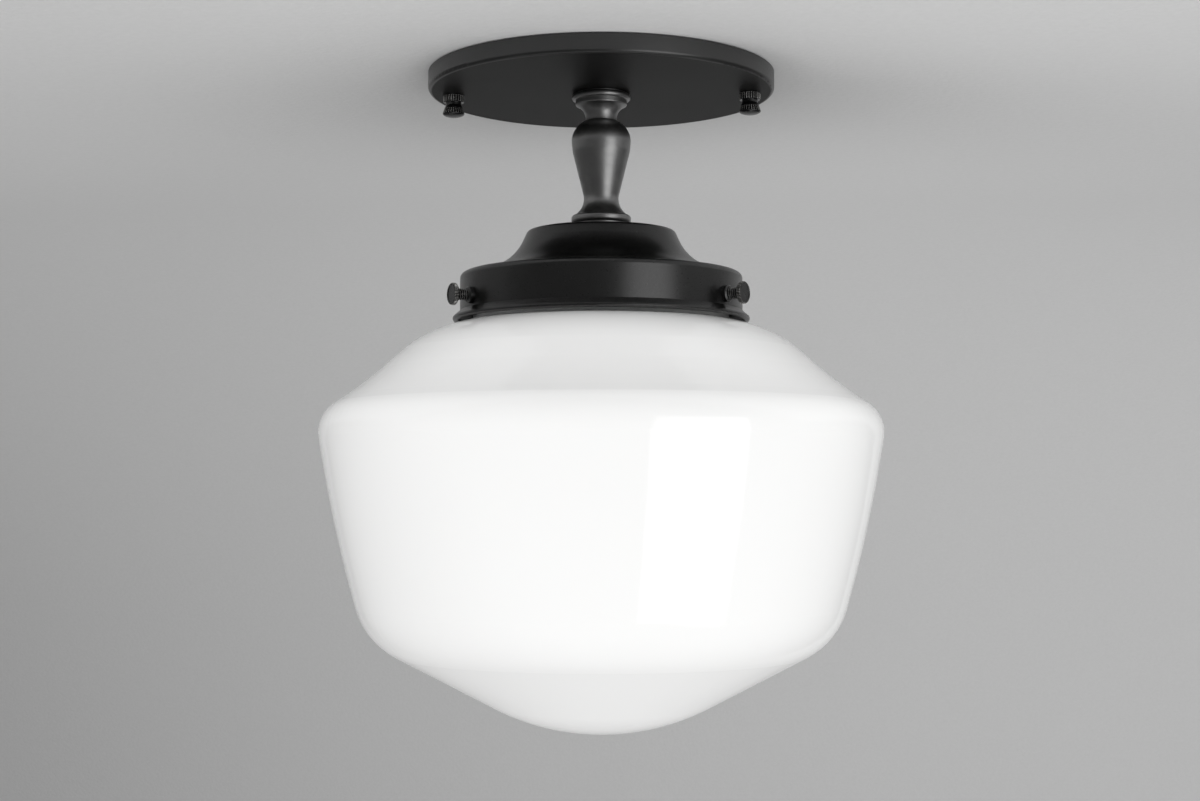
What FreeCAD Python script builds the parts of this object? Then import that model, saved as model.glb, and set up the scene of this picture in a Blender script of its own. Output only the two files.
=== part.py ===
import FreeCAD, Part
import math
import os

# Semi flush ceiling light: a five inch canopy, a turned stem and a four inch fitter
# that holds an eight inch schoolhouse glass by three thumbscrews.
# Millimetres.  The origin is on the stem's axis in the plane of the ceiling, +Z up,
# and the crossbar lies along X.

# ---- driving sizes -------------------------------------------------------------

# threads and working clearances
SCREW_R = 2.08             # 8-32 screw, outside the thread
THREAD_GAP = 0.05          # between a screw and its tapped hole
SLIP_GAP = 0.25            # between a pipe or screw and a plain hole
SEAT_GAP = 0.3             # between pieces that move past each other
REST_GAP = 0.1             # under a nut that is run up to its seat

# canopy, a stamped steel dish
CANOPY_MARGIN = 8.9        # from the canopy screws' centres to the rim
CANOPY_DEPTH = 6.7
CANOPY_WALL = 1.2
CANOPY_EDGE_R = 1.3

# crossbar, a steel strap screwed to the ceiling box
BAR_WIDTH = 16.0
BAR_THICK = 2.0
BAR_CENTRE_HOLE_R = 5.8
BOX_SCREW_NEAR = 69.85     # spacings of the box's screws that the slots take
BOX_SCREW_FAR = 88.9
BOX_SLOT_R = 2.4
BAR_WEB = 4.05             # between a slot and a canopy screw's head
BAR_END = 1.05             # past a canopy screw's head
CANOPY_SCREW_HEAD_R = 3.7
CANOPY_SCREW_REACH = 5.2   # below the canopy's face
COUNTERSINK = 82.0         # degrees
GROUND_SCREW_X = 19.0
GROUND_SCREW_R = 2.4
GROUND_HEAD_ACROSS = 7.9
GROUND_HEAD_THICK = 2.0
GROUND_WASHER_R = 5.0
GROUND_WASHER_THICK = 0.7

# knurled cap nuts under the canopy
NUT_RING_R = 3.85
NUT_RING_LENGTH = 2.7
NUT_NECK_R = 2.85
NUT_NECK_LENGTH = 1.0
NUT_FLARE_R = 3.4
NUT_FLARE = 1.15
NUT_KNOB_R = 4.05
NUT_BAND = 1.9
NUT_DOME = 1.4
NUT_BORE_DEPTH = 5.9

# threaded pipe through the stem, with a locknut at each end
PIPE_R = 4.85
PIPE_BORE_R = 3.3
PIPE_ABOVE_NUT = 1.4
PIPE_BELOW_NUT = 6.0
LOCKNUT_ACROSS = 14.3
CANOPY_NUT_THICK = 2.4
FITTER_NUT_THICK = 3.2
WASHER_R = 8.2
WASHER_THICK = 0.8
WASHER_TEETH = 12
WASHER_TOOTH_DEPTH = 1.6
WASHER_NOTCH_R = 0.75

# turned collar
COLLAR_HEIGHT = 10.0
COLLAR_TOP_R = 9.6
COLLAR_TOP_HEIGHT = 0.25
COLLAR_TORUS_R = 10.8
COLLAR_TORUS_HEIGHT = 2.4
COLLAR_TORUS_FILLET = 1.1
COLLAR_BEAD_R = 9.45
COLLAR_BEAD_HEIGHT = 1.7
COLLAR_BEAD_FILLET = 0.6
COLLAR_NECK_R = 5.7
COLLAR_NECK_RISE = 3.9
COLLAR_COVE_R = 5.2

# turned vase
VASE_HEIGHT = 41.1
VASE_SHOULDER_R = 11.4     # corners of the belly, before rounding
VASE_SHOULDER_DROP = 3.05
VASE_SHOULDER_FILLET = 8.4
VASE_BELLY_R = 10.55
VASE_BELLY_DROP = 11.5
VASE_BELLY_FILLET = 8.3
VASE_WAIST_R = 5.7
VASE_WAIST_RISE = 10.2     # above the fitter
VASE_WAIST_FILLET = 6.8
VASE_FOOT_R = 9.2
VASE_FOOT_RISE = 6.4
VASE_FOOT_FILLET = 0.4
VASE_FLANGE_R = 10.95
VASE_FLANGE_HEIGHT = 2.7
VASE_FLANGE_FILLET = 1.25
VASE_SEAT_R = 9.7
VASE_SEAT_HEIGHT = 2.9

# fitter, a spun steel cover
FITTER_BORE_R = 50.8
FITTER_WALL = 0.8
CAP_R = 27.0
CAP_EDGE_R = 1.6
COVE_CORNER_R = 32.7       # corner of the cove, before rounding
COVE_DROP = 12.4
COVE_R = 18.5
BAND_TOP_DROP = 16.1
BAND_EDGE_R = 2.0
BAND_HEIGHT = 13.5
LIP_OUT = 2.65             # past the band, all round
LIP_FLARE = 2.3
LIP_EDGE_R = 0.8
LIP_SKIRT = 1.3
LIP_HEM = 1.8              # turned in under the skirt
LIP_HEM_R = 0.8

# thumbscrews and the bosses that they turn in
SCREW_COUNT = 3
FIRST_SCREW_ANGLE = -30.0  # degrees round the axis, from +X
SCREW_DROP = 9.8           # below the top of the band
BOSS_R = 3.0
BOSS_LENGTH = 2.0
BOSS_CHAMFER = 0.5
SCREW_EXPOSED = 4.2
SCREW_HEAD_R = 3.95
SCREW_HEAD_THICK = 1.8
HEAD_CHAMFER = 0.3

# glass shade
GLASS_WALL = 3.0
GLASS_LIP_GAP = 1.6        # between the glass lip and the fitter's bore
GLASS_LIP_STEP = 2.5       # the lip stands out this far from the neck
GLASS_LIP_THICK = 4.0
GLASS_LIP_FILLET = 1.2
GLASS_NECK_LENGTH = 9.9    # below the lip
# corners of the outline below the neck: radius, drop below the neck, rounding
GLASS_NECK_FILLET = 3.0
SHOULDER_R, SHOULDER_DROP, SHOULDER_FILLET = 63.1, 2.8, 43.0
HAUNCH_R, HAUNCH_DROP, HAUNCH_FILLET = 86.6, 23.5, 120.0
RIM_R, RIM_DROP, RIM_FILLET = 103.35, 34.7, 12.5
TAPER_R, TAPER_DROP, TAPER_FILLET = 96.3, 76.1, 500.0
HEEL_R, HEEL_DROP, HEEL_FILLET = 85.2, 115.2, 28.0
DOME_R, DOME_DROP, DOME_FILLET = 21.3, 148.9, 83.0

# lampholder: bracket, porcelain, shell and contact
BRACKET_WIDTH = 15.0
BRACKET_THICK = 1.2
BRACKET_HALF = 10.0
BRACKET_DROP = 11.2        # from the top plate to the porcelain
BRACKET_FOOT_END = 17.4
BRACKET_SCREW_X = 14.0
BRACKET_SCREW_R = 1.5
BRACKET_SCREW_HEAD_R = 2.6
BRACKET_SCREW_HEAD = 1.6
BRACKET_SCREW_DEPTH = 5.0
BUSHING_R = 7.2
BUSHING_HEIGHT = 4.0
BUSHING_SPIGOT_R = 6.0
PORCELAIN_R = 19.0
PORCELAIN_HEIGHT = 32.0
PORCELAIN_FLOOR = 7.0
PORCELAIN_WAIST_R = 17.6
PORCELAIN_HEAD = 9.0
PORCELAIN_TOP_FILLET = 1.5
PORCELAIN_HEAD_FILLET = 0.8
PORCELAIN_STEP_FILLET = 0.5
PORCELAIN_MOUTH_FILLET = 1.2
SHELL_R = 13.9             # outside
SHELL_WALL = 0.5
SHELL_FLANGE_HOLE_R = 9.2
RIVET_R = 1.2
RIVET_HEAD_R = 1.9
RIVET_HEAD = 0.8
CONTACT_WIDTH = 6.0
CONTACT_THICK = 0.5
CONTACT_RIVET_X = -5.6
CONTACT_START_X = -8.6
CONTACT_BEND_X = -2.9
CONTACT_DIP = 1.9
CONTACT_NOSE = 3.0

# lamp leads
LEAD_R = 1.05
LEAD_HOLE_Y = 7.0
LEAD_BORE_Y = 1.4
LEAD_STUB = 4.0            # length inside the porcelain, and straight above it
LEAD_BEND = 0.45           # share of the shorter run that a bend takes

# light bulb
BULB_TIP_R = 4.8
BULB_TIP_HEIGHT = 1.0
BULB_INSULATOR_HEIGHT = 3.4
BULB_INSULATOR_TOP_R = 5.4
BULB_INSULATOR_END_R = 12.1
BULB_BASE_R = 13.1
BULB_BASE_LENGTH = 19.5
BULB_BASE_FILLET = 0.8
BULB_COLLAR_R = 14.3
BULB_COLLAR_FILLET = 1.0
BULB_MIDDLE_R = 15.3       # half way down the housing
BULB_HOUSING_LENGTH = 31.0
BULB_HOUSING_R = 27.0
BULB_HOUSING_FILLET = 40.0
BULB_GLOBE_R = 30.0
BULB_GLOBE_RISE = 21.0     # from the seam to the widest level
BULB_GLOBE_WALL = 1.5

# ---- levels worked out from the sizes -------------------------------------------

CANOPY_SCREW_SPACING = BOX_SCREW_FAR + 2 * (BOX_SLOT_R + BAR_WEB + CANOPY_SCREW_HEAD_R)
BAR_LENGTH = CANOPY_SCREW_SPACING + 2 * (CANOPY_SCREW_HEAD_R + BAR_END)
CANOPY_R = CANOPY_SCREW_SPACING / 2 + CANOPY_MARGIN
FACE_Z = -CANOPY_DEPTH
CANOPY_SEAT_Z = FACE_Z + CANOPY_WALL
CANOPY_NUT_TOP_Z = CANOPY_SEAT_Z + WASHER_THICK + CANOPY_NUT_THICK
COLLAR_END_Z = FACE_Z - COLLAR_HEIGHT
CAP_Z = COLLAR_END_Z - VASE_HEIGHT
FITTER_SEAT_Z = CAP_Z - FITTER_WALL
FITTER_NUT_END_Z = FITTER_SEAT_Z - WASHER_THICK - FITTER_NUT_THICK
PIPE_TOP_Z = CANOPY_NUT_TOP_Z + PIPE_ABOVE_NUT
PIPE_END_Z = FITTER_NUT_END_Z - PIPE_BELOW_NUT
BAND_R = FITTER_BORE_R + FITTER_WALL
LIP_R = BAND_R + LIP_OUT
BAND_TOP_Z = CAP_Z - BAND_TOP_DROP
CREASE_Z = BAND_TOP_Z - BAND_HEIGHT
SCREW_Z = BAND_TOP_Z - SCREW_DROP
BOSS_END = BAND_R + BOSS_LENGTH
HEAD_BACK = BOSS_END + SCREW_EXPOSED
GLASS_LIP_R = FITTER_BORE_R - GLASS_LIP_GAP
GLASS_NECK_R = GLASS_LIP_R - GLASS_LIP_STEP
SCREW_TIP = GLASS_NECK_R + SEAT_GAP
GLASS_LIP_Z = SCREW_Z + SCREW_R + SEAT_GAP
GLASS_TOP_Z = GLASS_LIP_Z + GLASS_LIP_THICK
GLASS_NECK_Z = GLASS_LIP_Z - GLASS_NECK_LENGTH
BUSHING_TOP_Z = FITTER_NUT_END_Z - SEAT_GAP
PLATE_TOP_Z = BUSHING_TOP_Z - BUSHING_HEIGHT
PORCELAIN_Z = PLATE_TOP_Z - BRACKET_DROP
PORCELAIN_END_Z = PORCELAIN_Z - PORCELAIN_HEIGHT
FLOOR_Z = PORCELAIN_Z - PORCELAIN_FLOOR
CONTACT_Z = FLOOR_Z - CONTACT_THICK - CONTACT_DIP
BULB_TIP_Z = CONTACT_Z - SEAT_GAP
BASE_TOP_Z = BULB_TIP_Z - BULB_TIP_HEIGHT - BULB_INSULATOR_HEIGHT
BASE_END_Z = BASE_TOP_Z - BULB_BASE_LENGTH
SEAM_Z = BASE_END_Z - BULB_HOUSING_LENGTH
SHELL_RIVET_RADIUS = (SHELL_FLANGE_HOLE_R + SHELL_R - SHELL_WALL) / 2
PIPE_HOLE_R = PIPE_R + SLIP_GAP
TAPPED_R = SCREW_R + THREAD_GAP
SIDES = (-1, 1)
ROUNDING_SHARE = 0.98      # of a run that its two roundings may take


# ---- drawing and turning --------------------------------------------------------

def point(radius, height):
    """A point of a section drawn in the XZ plane."""
    return FreeCAD.Vector(radius, 0, height)


def setback(before, corner, after, rounding):
    """How far from its corner a rounding starts and ends."""
    return rounding / math.tan((before - corner).getAngle(after - corner) / 2)


def fitted(corners):
    """The same path, with each rounding kept within the two runs beside it."""
    places = [point(radius, height) for radius, height, _ in corners]
    taken = [0] + [setback(*places[k - 1:k + 2], corners[k][2]) for k in range(1, len(places) - 1)] + [0]
    shares = [1]
    for one, two, start, end in zip(places, places[1:], taken, taken[1:]):
        room = one.distanceToPoint(two) * ROUNDING_SHARE
        share = min(1, room / (start + end)) if start + end > 0 else 1
        shares[-1] = min(shares[-1], share)
        shares.append(share)
    return [(radius, height, rounding * share) for (radius, height, rounding), share in zip(corners, shares)]


def rounded_path(corners):
    """Edges through (radius, height, rounding) corners: lines joined by tangent arcs."""
    places = [point(radius, height) for radius, height, _ in corners]
    edges = []
    last = places[0]
    for before, corner, after, (_, _, rounding) in zip(places, places[1:], places[2:], corners[1:]):
        start = end = corner
        if rounding > 0:
            back = (before - corner).normalize()
            ahead = (after - corner).normalize()
            half = back.getAngle(ahead) / 2
            start = corner + back * setback(before, corner, after, rounding)
            end = corner + ahead * setback(before, corner, after, rounding)
            middle = corner + (back + ahead).normalize() * (rounding / math.sin(half) - rounding)
        if start.distanceToPoint(last) > 1e-6:
            edges.append(Part.LineSegment(last, start).toShape())
        if rounding > 0:
            edges.append(Part.Arc(start, middle, end).toShape())
        last = end
    edges.append(Part.LineSegment(last, places[-1]).toShape())
    return edges


def inset(corners, wall):
    """The same path moved by wall to the right of its direction, with its roundings."""
    places = [point(radius, height) for radius, height, _ in corners]
    runs = [(b - a).normalize() for a, b in zip(places, places[1:])]
    sides = [FreeCAD.Vector(run.z, 0, -run.x) for run in runs]
    moved = [places[0] + sides[0] * wall]
    for corner, one, two in zip(places[1:], sides, sides[1:]):
        moved.append(corner + (one + two) * (wall / (1 + one.dot(two))))
    moved.append(places[-1] + sides[-1] * wall)
    roundings = [0]
    for one, two, (_, _, rounding) in zip(runs, runs[1:], corners[1:]):
        turns_right = one.z * two.x - one.x * two.z > 0
        roundings.append(max(rounding - wall, 0) if turns_right else rounding + wall)
    roundings.append(0)
    return [(place.x, place.z, rounding) for place, rounding in zip(moved, roundings)]


def revolve_edges(edges):
    """Turn closed edges of a section once round the Z axis."""
    face = Part.Face(Part.Wire(Part.__sortEdges__(edges)))
    return face.revolve(FreeCAD.Vector(0, 0, 0), FreeCAD.Vector(0, 0, 1), 360)


def turned(corners):
    """A solid turned from a closed section; its last corner joins its first."""
    edges = rounded_path(fitted(corners))
    first, last = corners[0], corners[-1]
    edges.append(Part.LineSegment(point(*last[:2]), point(*first[:2])).toShape())
    return revolve_edges(edges)


def spun(corners, wall):
    """A sheet of even wall, spun to a path; the wall lies to the path's right."""
    corners = fitted(corners)
    inner = inset(corners, wall)
    edges = rounded_path(corners) + rounded_path(inner)
    for outside, inside in ((corners[0], inner[0]), (corners[-1], inner[-1])):
        edges.append(Part.LineSegment(point(*outside[:2]), point(*inside[:2])).toShape())
    return revolve_edges(edges)


def rod(radius, low, high, x=0, y=0):
    """An upright cylinder between two levels."""
    return Part.makeCylinder(radius, high - low, FreeCAD.Vector(x, y, low))


def hexagon(across, low, high, x=0, y=0):
    """An upright hexagonal prism, given across its flats."""
    reach = across / math.sqrt(3)
    angles = [math.radians(60 * k) for k in range(7)]
    rim = [FreeCAD.Vector(x + reach * math.cos(a), y + reach * math.sin(a), low) for a in angles]
    return Part.Face(Part.makePolygon(rim)).extrude(FreeCAD.Vector(0, 0, high - low))


def slot(radius, centre_x, length, low, high):
    """An upright slot cutter with round ends, along X."""
    reach = length / 2 - radius
    ends = [rod(radius, low, high, centre_x + side * reach) for side in SIDES]
    corner = FreeCAD.Vector(centre_x - reach, -radius, low)
    return ends[0].fuse([ends[1], Part.makeBox(2 * reach, 2 * radius, high - low, corner)])


def strip(profile, width):
    """A bent strip: a closed outline in the XZ plane, as wide along Y as asked."""
    outline = Part.makePolygon([FreeCAD.Vector(x, -width / 2, z) for x, z in profile + profile[:1]])
    return Part.Face(outline).extrude(FreeCAD.Vector(0, width, 0))


def around(shape, count, first=0.0):
    """Copies of a shape turned evenly round the Z axis."""
    copies = []
    for k in range(count):
        copy = shape.copy()
        copy.rotate(FreeCAD.Vector(0, 0, 0), FreeCAD.Vector(0, 0, 1), first + 360 * k / count)
        copies.append(copy)
    return copies


def lie_along_x(shape, height):
    """Lay an upright shape down so that its top points along +X at this height."""
    shape.rotate(FreeCAD.Vector(0, 0, 0), FreeCAD.Vector(0, 1, 0), 90)
    shape.translate(FreeCAD.Vector(0, 0, height))
    return shape


def export(node, shape):
    """Write one piece, or one group of like pieces, to its own file."""
    pieces = shape if isinstance(shape, list) else [shape]
    solids = [solid for piece in pieces for solid in piece.removeSplitter().Solids]
    result = solids[0] if len(solids) == 1 else Part.makeCompound(solids)
    if not result.isValid():
        raise ValueError(node + " is not valid")
    result.exportStep("parts/" + node + ".step")
    box = result.optimalBoundingBox()
    print("%-22s %d solid  %9.1f mm3  z %8.2f .. %8.2f" % (
        node, len(solids), result.Volume, box.ZMin, box.ZMax))


# ---- what stays on the ceiling --------------------------------------------------

def crossbar():
    """Steel strap: slots for the box, tapped holes for the canopy and ground screws."""
    reach = BAR_LENGTH / 2 - BAR_WIDTH / 2
    corner = FreeCAD.Vector(-reach, -BAR_WIDTH / 2, -BAR_THICK)
    bar = Part.makeBox(2 * reach, BAR_WIDTH, BAR_THICK, corner)
    bar = bar.fuse([rod(BAR_WIDTH / 2, -BAR_THICK, 0, side * reach) for side in SIDES])
    slot_centre = (BOX_SCREW_NEAR + BOX_SCREW_FAR) / 4
    slot_length = (BOX_SCREW_FAR - BOX_SCREW_NEAR) / 2 + 2 * BOX_SLOT_R
    cuts = [rod(BAR_CENTRE_HOLE_R, -BAR_THICK, 0)]
    cuts.append(rod(GROUND_SCREW_R + THREAD_GAP, -BAR_THICK, 0, GROUND_SCREW_X))
    for side in SIDES:
        cuts.append(slot(BOX_SLOT_R, side * slot_centre, slot_length, -BAR_THICK, 0))
        cuts.append(countersunk_screw(side, THREAD_GAP, -BAR_THICK))
    return bar.cut(cuts)


def countersunk_screw(side, gap, low):
    """Flat-head screw set flush in the bar and pointing down, or with a gap its hole."""
    head_r = CANOPY_SCREW_HEAD_R + gap
    shank_r = SCREW_R + gap
    head_height = (head_r - shank_r) / math.tan(math.radians(COUNTERSINK / 2))
    screw = turned([(0, 0, 0), (head_r, 0, 0), (shank_r, -head_height, 0), (shank_r, low, 0), (0, low, 0)])
    screw.translate(FreeCAD.Vector(side * CANOPY_SCREW_SPACING / 2, 0, 0))
    return screw


def canopy_screws():
    """The two screws that carry the canopy."""
    return [countersunk_screw(side, 0, FACE_Z - CANOPY_SCREW_REACH) for side in SIDES]


def ground_screw():
    """Hex washer-head screw under the bar."""
    washer_z = -BAR_THICK - GROUND_WASHER_THICK
    head_z = washer_z - GROUND_HEAD_THICK
    washer = rod(GROUND_WASHER_R, washer_z, -BAR_THICK, GROUND_SCREW_X)
    head = hexagon(GROUND_HEAD_ACROSS, head_z, washer_z, GROUND_SCREW_X)
    return rod(GROUND_SCREW_R, -BAR_THICK, 0, GROUND_SCREW_X).fuse([washer, head])


def canopy():
    """Shallow stamped dish, with a hole for the pipe and one for each screw."""
    path = [
        (CANOPY_R, 0, 0),
        (CANOPY_R, FACE_Z, CANOPY_EDGE_R),
        (PIPE_HOLE_R, FACE_Z, 0),
    ]
    cuts = [rod(SCREW_R + SLIP_GAP, FACE_Z, 0, side * CANOPY_SCREW_SPACING / 2) for side in SIDES]
    return spun(path, CANOPY_WALL).cut(cuts)


def cap_nut(side):
    """Knurled ring, neck and domed knob, turned in one piece over a blind thread."""
    top = FACE_Z - REST_GAP
    ring_z = top - NUT_RING_LENGTH
    neck_z = ring_z - NUT_NECK_LENGTH
    knob_z = neck_z - NUT_FLARE
    band_z = knob_z - NUT_BAND
    edges = rounded_path([
        (0, top, 0),
        (NUT_RING_R, top, 0),
        (NUT_RING_R, ring_z, 0),
        (NUT_NECK_R, ring_z, 0),
        (NUT_NECK_R, neck_z, 0),
        (NUT_FLARE_R, knob_z, 0),
        (NUT_KNOB_R, band_z, 0),
    ])
    # the dome is part of a ball whose centre is on the nut's axis
    ball_r = (NUT_KNOB_R ** 2 + NUT_DOME ** 2) / (2 * NUT_DOME)
    ball_z = band_z - NUT_DOME + ball_r
    turn = math.asin(NUT_KNOB_R / ball_r) / 2
    tip = point(0, ball_z - ball_r)
    middle = point(ball_r * math.sin(turn), ball_z - ball_r * math.cos(turn))
    edges.append(Part.Arc(point(NUT_KNOB_R, band_z), middle, tip).toShape())
    edges.append(Part.LineSegment(tip, point(0, top)).toShape())
    nut = revolve_edges(edges).cut(rod(TAPPED_R, top - NUT_BORE_DEPTH, top))
    nut.translate(FreeCAD.Vector(side * CANOPY_SCREW_SPACING / 2, 0, 0))
    return nut


# ---- the stem -------------------------------------------------------------------

def stem_pipe():
    """Threaded pipe that holds the stack together and carries the leads."""
    return rod(PIPE_R, PIPE_END_Z, PIPE_TOP_Z).cut(rod(PIPE_BORE_R, PIPE_END_Z, PIPE_TOP_Z))


def locknut(low, thick):
    """Hex nut on the pipe."""
    return hexagon(LOCKNUT_ACROSS, low, low + thick).cut(rod(PIPE_R + THREAD_GAP, low, low + thick))


def toothed_washer(low):
    """Lock washer with teeth round its edge."""
    high = low + WASHER_THICK
    notch = rod(WASHER_NOTCH_R, low, high, WASHER_R - WASHER_TOOTH_DEPTH)
    gap = Part.makeBox(WASHER_TOOTH_DEPTH * 2, WASHER_NOTCH_R * 2, WASHER_THICK,
                       FreeCAD.Vector(WASHER_R - WASHER_TOOTH_DEPTH, -WASHER_NOTCH_R, low))
    cuts = around(notch.fuse(gap), WASHER_TEETH)
    return rod(WASHER_R, low, high).cut(cuts + [rod(PIPE_R + THREAD_GAP, low, high)])


def stem_collar():
    """Turned collar: a flange, a torus, a bead and a hollowed neck."""
    torus_top = FACE_Z - COLLAR_TOP_HEIGHT
    torus_end = torus_top - COLLAR_TORUS_HEIGHT
    bead_end = torus_end - COLLAR_BEAD_HEIGHT
    return turned([
        (PIPE_HOLE_R, FACE_Z, 0),
        (COLLAR_TOP_R, FACE_Z, 0),
        (COLLAR_TOP_R, torus_top, 0),
        (COLLAR_TORUS_R, torus_top, COLLAR_TORUS_FILLET),
        (COLLAR_TORUS_R, torus_end, COLLAR_TORUS_FILLET),
        (COLLAR_BEAD_R, torus_end, 0),
        (COLLAR_BEAD_R, bead_end, COLLAR_BEAD_FILLET),
        (COLLAR_NECK_R, COLLAR_END_Z + COLLAR_NECK_RISE, COLLAR_COVE_R),
        (COLLAR_NECK_R, COLLAR_END_Z, 0),
        (PIPE_HOLE_R, COLLAR_END_Z, 0),
    ])


def stem_vase():
    """Turned vase: belly, waist, flared foot and a rounded flange on a seat."""
    flange_end = CAP_Z + VASE_SEAT_HEIGHT
    flange_top = flange_end + VASE_FLANGE_HEIGHT
    return turned([
        (PIPE_HOLE_R, COLLAR_END_Z, 0),
        (COLLAR_NECK_R - REST_GAP, COLLAR_END_Z, 0),
        (VASE_SHOULDER_R, COLLAR_END_Z - VASE_SHOULDER_DROP, VASE_SHOULDER_FILLET),
        (VASE_BELLY_R, COLLAR_END_Z - VASE_BELLY_DROP, VASE_BELLY_FILLET),
        (VASE_WAIST_R, CAP_Z + VASE_WAIST_RISE, VASE_WAIST_FILLET),
        (VASE_FOOT_R, CAP_Z + VASE_FOOT_RISE, VASE_FOOT_FILLET),
        (VASE_FLANGE_R, flange_top, VASE_FLANGE_FILLET),
        (VASE_FLANGE_R, flange_end, VASE_FLANGE_FILLET),
        (VASE_SEAT_R, flange_end, 0),
        (VASE_SEAT_R, CAP_Z, 0),
        (PIPE_HOLE_R, CAP_Z, 0),
    ])


# ---- fitter and thumbscrews -----------------------------------------------------

def fitter():
    """Spun cover: flat cap, cove, straight band and a flared lip with a turned-in hem."""
    flare_end = CREASE_Z - LIP_FLARE
    path = [
        (LIP_R - LIP_HEM, flare_end - LIP_SKIRT, 0),
        (LIP_R, flare_end - LIP_SKIRT, LIP_HEM_R),
        (LIP_R, flare_end, LIP_EDGE_R),
        (BAND_R, CREASE_Z, 0),
        (BAND_R, BAND_TOP_Z, BAND_EDGE_R),
        (COVE_CORNER_R, CAP_Z - COVE_DROP, COVE_R),
        (CAP_R, CAP_Z, CAP_EDGE_R),
        (PIPE_HOLE_R, CAP_Z, 0),
    ]
    holes = around(radial_rod(BOSS_R, 0, BAND_R + BOSS_LENGTH), SCREW_COUNT, FIRST_SCREW_ANGLE)
    return spun(path, -FITTER_WALL).cut(holes)


def radial_rod(radius, inner, outer):
    """A rod along +X at the thumbscrews' level, between two distances from the axis."""
    return lie_along_x(rod(radius, inner, outer), SCREW_Z)


def fitter_bosses():
    """Tapped bosses with chamfered ends, set through the band."""
    boss = lie_along_x(turned([
        (TAPPED_R, 0, 0),
        (BOSS_R, 0, 0),
        (BOSS_R, BOSS_END - BOSS_CHAMFER, 0),
        (BOSS_R - BOSS_CHAMFER, BOSS_END, 0),
        (TAPPED_R, BOSS_END, 0),
    ]), SCREW_Z)
    inside = rod(BAND_R - FITTER_WALL, SCREW_Z - 2 * BOSS_R, SCREW_Z + 2 * BOSS_R)
    return around(boss.cut(inside), SCREW_COUNT, FIRST_SCREW_ANGLE)


def thumbscrew(number):
    """Screw with a flat knurled head, its tip just off the glass neck."""
    screw = turned([
        (0, SCREW_TIP, 0),
        (SCREW_R - HEAD_CHAMFER, SCREW_TIP, 0),
        (SCREW_R, SCREW_TIP + HEAD_CHAMFER, 0),
        (SCREW_R, HEAD_BACK, 0),
        (SCREW_HEAD_R - HEAD_CHAMFER, HEAD_BACK, 0),
        (SCREW_HEAD_R, HEAD_BACK + HEAD_CHAMFER, 0),
        (SCREW_HEAD_R, HEAD_BACK + SCREW_HEAD_THICK - HEAD_CHAMFER, 0),
        (SCREW_HEAD_R - HEAD_CHAMFER, HEAD_BACK + SCREW_HEAD_THICK, 0),
        (0, HEAD_BACK + SCREW_HEAD_THICK, 0),
    ])
    return around(lie_along_x(screw, SCREW_Z), SCREW_COUNT, FIRST_SCREW_ANGLE)[number]


# ---- glass ----------------------------------------------------------------------

def shade():
    """Blown glass with a rolled lip: neck, shoulder, round rim, taper, heel and dome."""
    z = GLASS_NECK_Z
    body = [
        (GLASS_NECK_R, z, GLASS_NECK_FILLET),
        (SHOULDER_R, z - SHOULDER_DROP, SHOULDER_FILLET),
        (HAUNCH_R, z - HAUNCH_DROP, HAUNCH_FILLET),
        (RIM_R, z - RIM_DROP, RIM_FILLET),
        (TAPER_R, z - TAPER_DROP, TAPER_FILLET),
        (HEEL_R, z - HEEL_DROP, HEEL_FILLET),
        (DOME_R, z - DOME_DROP, DOME_FILLET),
        (0, z - DOME_DROP, 0),
    ]
    body = fitted([(GLASS_NECK_R, GLASS_LIP_Z, 0)] + body)[1:]
    inner = inset([(GLASS_NECK_R, GLASS_TOP_Z, 0)] + body, GLASS_WALL)
    lip = [
        (inner[0][0], GLASS_TOP_Z, 0),
        (GLASS_LIP_R, GLASS_TOP_Z, GLASS_LIP_FILLET),
        (GLASS_LIP_R, GLASS_LIP_Z, GLASS_LIP_FILLET),
        (GLASS_NECK_R, GLASS_LIP_Z, 0),
    ]
    edges = rounded_path(lip + body) + rounded_path(inner)
    edges.append(Part.LineSegment(point(*body[-1][:2]), point(*inner[-1][:2])).toShape())
    return revolve_edges(edges)


# ---- lampholder -----------------------------------------------------------------

def socket_bushing():
    """Tapped bushing that screws on the end of the pipe."""
    plate_end = PLATE_TOP_Z - BRACKET_THICK
    body = rod(BUSHING_R, PLATE_TOP_Z, BUSHING_TOP_Z).fuse(rod(BUSHING_SPIGOT_R, plate_end, PLATE_TOP_Z))
    return body.cut(rod(PIPE_R + THREAD_GAP, plate_end, BUSHING_TOP_Z))


def socket_bracket():
    """Hat-shaped strap from the bushing down to the porcelain, open at both sides."""
    high, low = PLATE_TOP_Z, PORCELAIN_Z
    half = [
        (BRACKET_HALF, high),
        (BRACKET_HALF, low + BRACKET_THICK),
        (BRACKET_FOOT_END, low + BRACKET_THICK),
        (BRACKET_FOOT_END, low),
        (BRACKET_HALF - BRACKET_THICK, low),
        (BRACKET_HALF - BRACKET_THICK, high - BRACKET_THICK),
    ]
    profile = half + [(-x, z) for x, z in reversed(half)]
    cuts = [rod(BUSHING_SPIGOT_R, high - BRACKET_THICK, high)]
    cuts += [rod(BRACKET_SCREW_R + THREAD_GAP, low, low + BRACKET_THICK, side * BRACKET_SCREW_X)
             for side in SIDES]
    return strip(profile, BRACKET_WIDTH).cut(cuts)


def bracket_screws():
    """Two screws through the bracket's feet into the porcelain."""
    seat = PORCELAIN_Z + BRACKET_THICK
    screws = []
    for side in SIDES:
        x = side * BRACKET_SCREW_X
        shank = rod(BRACKET_SCREW_R, PORCELAIN_Z - BRACKET_SCREW_DEPTH, seat, x)
        screws.append(shank.fuse(rod(BRACKET_SCREW_HEAD_R, seat, seat + BRACKET_SCREW_HEAD, x)))
    return screws


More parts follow.
